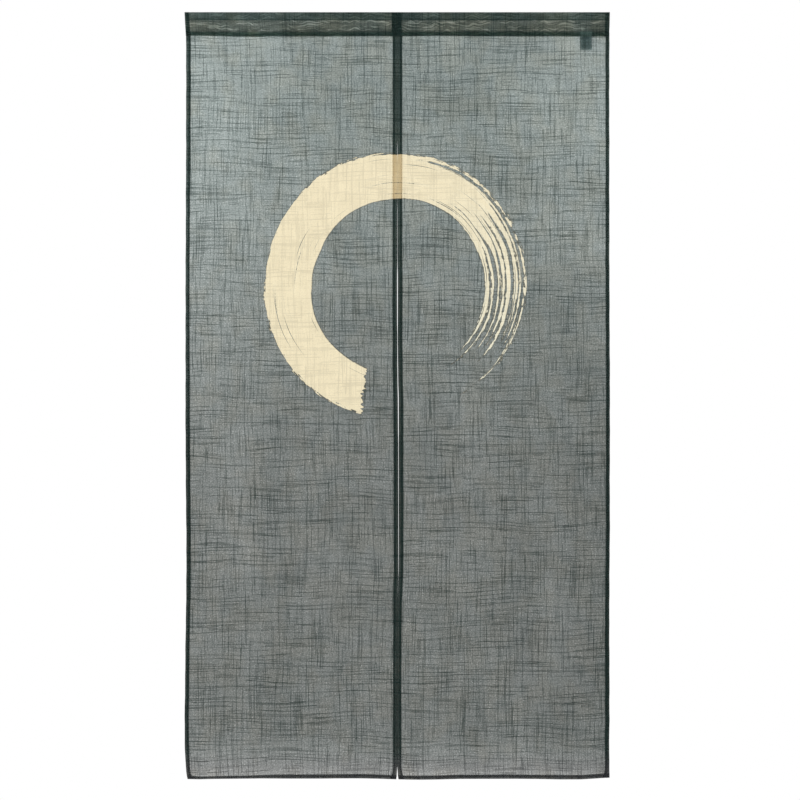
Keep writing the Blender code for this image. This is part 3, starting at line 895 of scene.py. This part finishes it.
def hang_of_light(n, across, drop, side_light=1.0):
    """How strongly the cloth's glow is painted there, how low it hangs, how warm its light is and how far its
    yarn's front is painted paler at the foot.

    The glow is painted light: brighter towards its top and sides, in a band lower down and at its foot, and
    unevenly.
    """
    # Painted light: the glow is painted brighter at the upper left and right, in a band lower down and at the
    # foot.
    left = n.times(n.range(n.times(across, -1.0), *LIGHT["left"]), n.range(drop, *LIGHT["left_down"]))
    right = n.times(n.range(across, *LIGHT["right"]), n.range(drop, *LIGHT["right_down"]))
    sides = n.times(n.add(left, right), side_light)
    middle = n.times(n.range(drop, *LIGHT["middle_starts"]), n.range(drop, *LIGHT["middle_ends"]))
    foot = n.add(n.range(drop, *LIGHT["foot"]), n.range(drop, *LIGHT["last_row"]))
    mottle = n.times(n.minus(patches(n, across, drop, *MOTTLE), 0.5), MOTTLE_STRENGTH)
    glow = n.add(BASE_GLOW, sides, foot, middle, mottle)
    # Painted light: cooler where the left is painted brighter, and at the foot.
    cooler = n.add(n.times(left, COOLER_LEFT), n.range(drop, *LIGHT["cooler_foot"]))
    tint = n.add(patches(n, across, drop, *TINT), cooler)
    return glow, n.range(drop, *LIGHT["low"]), tint, n.range(drop, *LIGHT["foot_lit"])


def stroke_middle(angle):
    """Radius of the middle of the stroke."""
    turn = math.radians(angle)
    return RING["radius"] + sum(height * math.sin(waves * turn + phase) for height, waves, phase in WOBBLE)


def stroke_width(angle):
    """The stroke is widest on its way round and narrows a little as the brush lifts."""
    share = (angle - STROKE["start"]) / (STROKE["end"] - STROKE["start"])
    share = min(max(share, 0.0), 1.0)
    wider = PRESS["wider"] * math.sin(math.pi * share)
    return RING["width"] * (1.0 + wider - PRESS["narrower"] * share**2)


def bundle_rows(place, chance):
    """One bundle of bristles as rows of (angle, radius, half width): fused while wet, then narrowing."""
    count, overlap = BUNDLES["count"], BUNDLES["overlap"]
    parts, dry_share, ends = (chance.uniform(*BUNDLE_CHANCES[name]) for name in ("parts", "share", "ends"))
    shift = chance.uniform(-1.0, 1.0) * BUNDLES["jitter"]
    rows = []
    for angle in np.arange(0.0, 360.0, BUNDLES["step"]):
        slot = stroke_width(angle) / count
        low = (place - count / 2) * slot
        high = low + slot
        wet_low = low - (overlap if place > 0 else 0.0)
        wet_high = high + (overlap if place < count - 1 else 0.0)
        dry_half = 0.5 * slot * dry_share * chance.uniform(*BUNDLES["uneven"])
        dry_middle = (low + high) / 2 + shift * slot
        dry = smooth_step(parts, parts + PARTING, angle)
        gone = smooth_step(ends - TAPER, ends, angle)
        middle = (1.0 - dry) * (wet_low + wet_high) / 2 + dry * dry_middle
        half = (1.0 - dry) * (wet_high - wet_low) / 2 + dry * dry_half
        rows.append((angle, stroke_middle(angle) + middle, (1.0 - gone) * half + gone * GONE))
    return rows


def bare_hair_rows(chance):
    """One thin line that the brush left bare, as rows like a bundle's."""
    names = ("from", "long", "half", "across")
    begins, long, half, across = (chance.uniform(*HAIR_CHANCES[name]) for name in names)
    rows = []
    for share, thickness in ((0.0, GONE), (0.15, half), (0.5, half), (0.85, half), (1.0, GONE)):
        angle = begins + long * share
        rows.append((angle, stroke_middle(angle) + across * stroke_width(angle), thickness))
    return rows


def strand_cover(n, rows, clock, radius):
    """How far inside one strand a place is, in millimetres."""
    node = n.node("ValToRGB", clock)
    ramp = node.color_ramp
    ramp.interpolation = "B_SPLINE"
    while len(ramp.elements) < len(rows):
        ramp.elements.new(0.5)
    for element, (angle, middle, half) in zip(ramp.elements, rows):
        element.position = angle / 360.0
        element.color = (middle / RING_SCALE, (half + HALF_OFFSET) / RING_SCALE, 0.0, 1.0)
    middle, half, _ = n.separate(n.vector("MULTIPLY", node.outputs[0], (RING_SCALE, RING_SCALE, 1.0)))
    return n.minus(n.minus(half, HALF_OFFSET), n.math("ABSOLUTE", n.minus(radius, middle)))


def brush_noise(n, kind, x, y):
    """Noise of a kind at a place, about its middle, times how far it reaches."""
    wide, high, detail, middle, reach = BRUSH_NOISE[kind]
    value = n.noise(n.combine(n.times(x, 1 / wide), n.times(y, 1 / high)), detail)
    return n.times(n.minus(value, middle), reach)


def blunt_start(n, clock, radius, arc):
    """How far past the toothed first edge of the stroke a place is, in millimetres."""
    lean = n.times(n.minus(RING["radius"], radius), STROKE["lean"])
    ahead = n.minus(n.times(clock, 360.0), n.add(STROKE["start"], lean))
    return n.add(n.times(ahead, RING["radius"] * math.pi / 180), brush_noise(n, "teeth", radius, arc))


def round_the_ring(n, across, drop):
    """A place seen from the ring's middle: right, above, share of a turn, radius and length of arc."""
    right = n.minus(across, RING["across"])
    above = n.minus(RING["drop"], drop)
    turn = n.math("ARCTAN2", n.times(right, -1.0), n.times(above, -1.0))
    clock = n.math("FRACT", n.add(n.times(turn, 1 / (2 * math.pi)), 1.0))
    radius = n.node("VectorMath", n.combine(right, above), operation="LENGTH").outputs["Value"]
    return right, above, clock, radius, n.times(clock, 2 * math.pi * RING["radius"])


def ring_cover(n, across, drop):
    """How far inside the brushed ring a place is, how thin the paint is there and how soaked the cloth."""
    right, above, clock, radius, arc = round_the_ring(n, across, drop)
    swayed = n.add(radius, brush_noise(n, "sway", arc, radius))
    chance = np.random.default_rng(RING["seed"])
    bundles = [bundle_rows(place, chance) for place in range(BUNDLES["count"])]
    strands = (strand_cover(n, rows, clock, swayed) for rows in bundles)
    cover = functools.reduce(lambda one, other: n.math("MAXIMUM", one, other), strands)

    dry = n.range(clock, STROKE["dries"] / 360, STROKE["end"] / 360)
    outer = n.range(radius, *(RING["radius"] + share * RING["width"] for share in OUTER_EDGE))
    specks = brush_noise(n, "specks", right, above)
    uneven = n.add(brush_noise(n, "hairs", arc, radius), specks)
    ragged = n.add(RAGGED["always"], n.times(dry, RAGGED["dry"]), n.times(outer, RAGGED["outer"]))
    flecks = n.times(brush_noise(n, "flecks", arc, radius), n.add(dry, outer))
    cover = n.add(cover, n.times(uneven, ragged), flecks)
    limit = n.add(DRY_STREAKS["wet"], n.times(dry, DRY_STREAKS["dry"] - DRY_STREAKS["wet"]))
    unbroken = n.times(n.minus(limit, brush_noise(n, "streaks", arc, swayed)), DRY_STREAKS["steep"])
    cover = n.math("MINIMUM", cover, unbroken)
    frayed = n.times(specks, FRAYED)
    for _ in range(BARE_HAIRS):
        bare = n.add(strand_cover(n, bare_hair_rows(chance), clock, swayed), frayed)
        cover = n.math("MINIMUM", cover, n.times(bare, -1.0))
    cover = n.math("MINIMUM", cover, blunt_start(n, clock, radius, arc))

    thin = n.add(THIN_PAINT["wet"], n.times(dry, THIN_PAINT["dries"]))
    stain = n.add(STAIN["wet"], n.times(dry, STAIN["dries"]))
    return cover, thin, n.times(n.range(cover, *STAIN["edge"]), stain, STAIN["strength"])


def wavy_lines(n, cut):
    """The pale wavy lines of painted light that show where two layers of weave lie over each other, from 0 to
    1.
    """
    lifted = n.vector("ADD", cut, n.combine(0.0, drift(n, cut, *WAVY_LIFT)))
    lines, places = (
        n.range(streaks(n, place, *noise), *limits)
        for place, (noise, limits) in ((lifted, WAVY_LINES), (cut, WAVY_PLACES))
    )
    return n.times(lines, places)


def heading_strips(n, drop):
    """How the strips of the heading differ: how strong the wavy lines are, the painted glow and its warmth.
    """
    facing_ends = n.range(drop, *STRIPS["facing_ends"])
    middle = n.times(facing_ends, n.range(drop, *STRIPS["middle_ends"]))
    waves = n.add(WAVY["strips"], n.times(middle, WAVY["middle"]))
    # Painted light: the glow is painted weaker down to the allowance's raw edge and stronger in the band
    # below it.
    glow = n.add(n.range(drop, *STRIPS["allowance_edge"]), n.range(drop, *STRIPS["allowance"]))
    return waves, glow, n.mix(facing_ends, TOP_STRIP_WARMTH, HEADING_WARMTH)


def over_label(n, across, drop):
    """1 where the label lies under the heading's band, and 0 elsewhere."""
    past_left, past_right, past_top = (
        n.range(place, LABEL[edge] - LABEL_BLUR, LABEL[edge] + LABEL_BLUR)
        for place, edge in ((across, "left"), (across, "right"), (drop, "top"))
    )
    return n.times(past_left, n.minus(1.0, past_right), past_top)


def paint_over(n, cut, place, thick, face, through, gaps):
    """The front, glow and gaps of the cloth with the brushed ring on it."""
    cover, thin_paint, soaked = ring_cover(n, *place)
    painted = n.range(cover, *PAINTED)
    paint = n.mix(n.range(thick, *PAINT_OVER_YARN), PRINT_FACE, PRINT_THIN)
    paint = n.mix(n.times(n.range(cover, *RIM), thin_paint), paint, PRINT_RIM)
    blotches = n.times(n.add(*(streaks(n, cut, *noise) for noise in BLOTCHES)), BLOTCH_STRENGTH)
    relief = n.times(n.range(thick, *PAINT_RELIEF, smooth=False), n.add(1.0 - BLOTCH_STRENGTH, blotches))
    face = n.mix(painted, n.mix(soaked, face, SOAKED_FACE), n.scaled(paint, relief))
    through = n.mix(painted, n.mix(soaked, through, SOAKED_CLOTH), n.scaled(PRINT_GLOW, relief))
    return face, through, n.times(gaps, n.minus(1.0, painted), n.minus(1.0, soaked))


def cloth_material(name, lets_through=(1.0, 1.0), printed=False, doubled=False):
    """Sheer slub cloth: dark yarn that glows with the light behind it, with clear gaps between the yarns."""
    n = Nodes(name)
    cut = n.made("UVMap", uv_map="cut")
    place = across_and_drop(n)
    thick = yarn_thickness(n, cut)
    thin = n.math("EXPONENT", n.times(n.minus(1.0, thick), YARN_SHADE))
    glow, low, tint, foot_lit = hang_of_light(n, *place, HEADING_SIDES if doubled else 1.0)
    glow = n.times(glow, n.range(low, 0.0, 1.0, *lets_through, smooth=False))
    # Painted light: the light through the yarn is painted darker and browner towards the bottom.
    colour = n.mix(low, GLOW_TOP, GLOW_BOTTOM)
    colour = n.vector("MULTIPLY", colour, n.mix(n.range(tint, *TINT_RANGE), COOL, WARM))
    # Painted light: the yarn's front is painted paler at the foot.
    face = n.scaled(n.mix(foot_lit, YARN, FOOT_LIT_YARN), n.range(thick, *YARN_TONE, smooth=False))
    if doubled:
        waves, strip_glow, warmth = heading_strips(n, place[1])
        # Painted light: pale wavy lines are added to the glow.
        glow = n.times(n.add(glow, n.times(wavy_lines(n, cut), waves)), strip_glow)
        colour = n.vector("MULTIPLY", colour, warmth)
        # Painted light: the band's front is painted paler where the label lies under it, standing in for the
        # label showing through.
        face = n.mix(over_label(n, *place), face, LABEL_BENEATH)
    through = n.scaled(colour, n.times(glow, thin))
    gaps = n.times(OPENNESS, glow, n.times(thin, thin))
    if printed:
        face, through, gaps = paint_over(n, cut, place, thick, face, through, gaps)
    bump = n.made("Bump", Height=thick, **CLOTH_BUMP)
    front = n.made("BsdfPrincipled", Base_Color=face, Normal=bump, **CLOTH_FINISH)
    yarns = n.made("MixShader", THROUGH["cloth"], front, n.made("BsdfTranslucent", Color=through))
    return n.finish(n.made("MixShader", gaps, yarns, n.made("BsdfTransparent")))


def label_material():
    """Plain woven tape with a fine rib across it, blank."""
    n = Nodes("label_tape")
    rib = streaks(n, n.made("UVMap", uv_map="cut"), *LABEL_RIB)
    tone = n.range(rib, *LABEL_TONE, smooth=False)
    bump = n.made("Bump", Height=rib, **LABEL_BUMP)
    front = n.made("BsdfPrincipled", Base_Color=n.scaled(LABEL_TAPE, tone), Roughness=0.6, Normal=bump)
    back = n.made("BsdfTranslucent", Color=n.scaled(LABEL_GLOW, tone))
    return n.finish(n.made("MixShader", THROUGH["label"], front, back))


def grained_material(name, colour, roughness, grain, detail, tones):
    """An opaque material whose colour differs a little from place to place."""
    n = Nodes(name)
    place = n.vector("MULTIPLY", n.node("TexCoord").outputs["Object"], grain)
    tone = n.range(n.noise(place, detail), *tones)
    return n.finish(n.made("BsdfPrincipled", Base_Color=n.scaled(colour, tone), Roughness=roughness))


def hang(piece, node):
    """Puts a piece in the place of a solid."""
    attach(piece, "root")
    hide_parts(node)
    return piece


def sew(name, lines, material):
    piece = stitches_object(name, lines, material)
    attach(piece, "root")
    return piece


def make_heading(thread):
    heading_cloth = cloth_material("heading_slub_cloth", HEADING_CLOTH, doubled=True)
    facing_cloth = cloth_material("facing_slub_cloth", FACING_CLOTH)
    end_cloth = cloth_material("heading_hem_slub_cloth", HEADING_HEM_CLOTH)
    sleeves = [sleeve_grid("left"), sleeve_grid("right")]
    facings = [facing_grid("left"), facing_grid("right")]
    heading_materials = [heading_cloth, facing_cloth, end_cloth]
    heading = sheet_object("heading_sleeve", sleeves + facings, heading_materials, heading_layers)
    hang(heading, "heading")
    heading_thread = sew("heading_stitches", heading_seams(), thread)


def make_panels(thread):
    cloth = cloth_material("slub_cloth")
    printed = cloth_material("printed_slub_cloth", printed=True)
    hem_cloth = cloth_material("hem_slub_cloth", HEM_CLOTH)
    for name, edges in PANELS.items():
        grid = panel_grid(edges)
        panel = sheet_object(name + "_cloth", [grid], [cloth, printed, hem_cloth], layer_and_print)
        hang(panel, name)
        seams = panel_seams(edges)
        if name == "panel_left":
            seams += joining_seam()
        panel_thread = sew(name + "_stitches", seams, thread)


def make_label():
    grid = label_grid()
    label = hang(sheet_object("label_tab", [grid], [label_material()]), "label")


def make_room():
    """White light from all round, a large soft lamp at the upper left, and a pale floor under the curtain."""
    scene = bpy.context.scene
    scene.view_settings.view_transform = "Standard"
    world = bpy.data.worlds.new("white_room")
    scene.world = world
    world.use_nodes = True
    background = world.node_tree.nodes["Background"]
    background.inputs["Color"].default_value = (*WHITE, 1.0)
    background.inputs["Strength"].default_value = 1.0

    lamp = bpy.data.lights.new("soft_lamp", "AREA")
    lamp.shape = "DISK"
    lamp.size = LAMP["size"]
    lamp.energy = LAMP["power"]
    holder = add_object("soft_lamp", lamp)
    holder.location = LAMP["place"]
    aim = Vector((0.0, 0.0, -LENGTH / 2 * MM)) - Vector(holder.location)
    holder.rotation_euler = aim.to_track_quat("-Z", "Y").to_euler()

    reach = FLOOR_RADIUS * MM
    angles = [2 * math.pi * step / FLOOR_CORNERS for step in range(FLOOR_CORNERS)]
    rim = [(reach * math.cos(angle), reach * math.sin(angle), 0.0) for angle in angles]
    floor_paint = grained_material("pale_floor", FLOOR, **FLOOR_LOOK)
    floor = plain_object("floor", rim, [list(range(FLOOR_CORNERS))], floor_paint)
    floor.location = (0.0, 0.0, -FLOOR_DROP * MM)


def make_camera():
    """Straight on to the curtain, from the distance at which it fills the photograph's frame."""
    data = bpy.data.cameras.new("camera")
    data.lens = LENS
    data.sensor_width = SENSOR
    camera = add_object("camera", data)
    distance = LENS * VIEW_HEIGHT * MM / SENSOR
    camera.location = (VIEW_CENTRE[0] * MM, -distance, -VIEW_CENTRE[1] * MM)
    camera.rotation_euler = (math.radians(90), 0.0, 0.0)
    bpy.context.scene.camera = camera


make_camera()
sewing_thread = grained_material("sewing_thread", THREAD, **THREAD_LOOK)
make_heading(sewing_thread)
make_panels(sewing_thread)
make_label()
make_room()
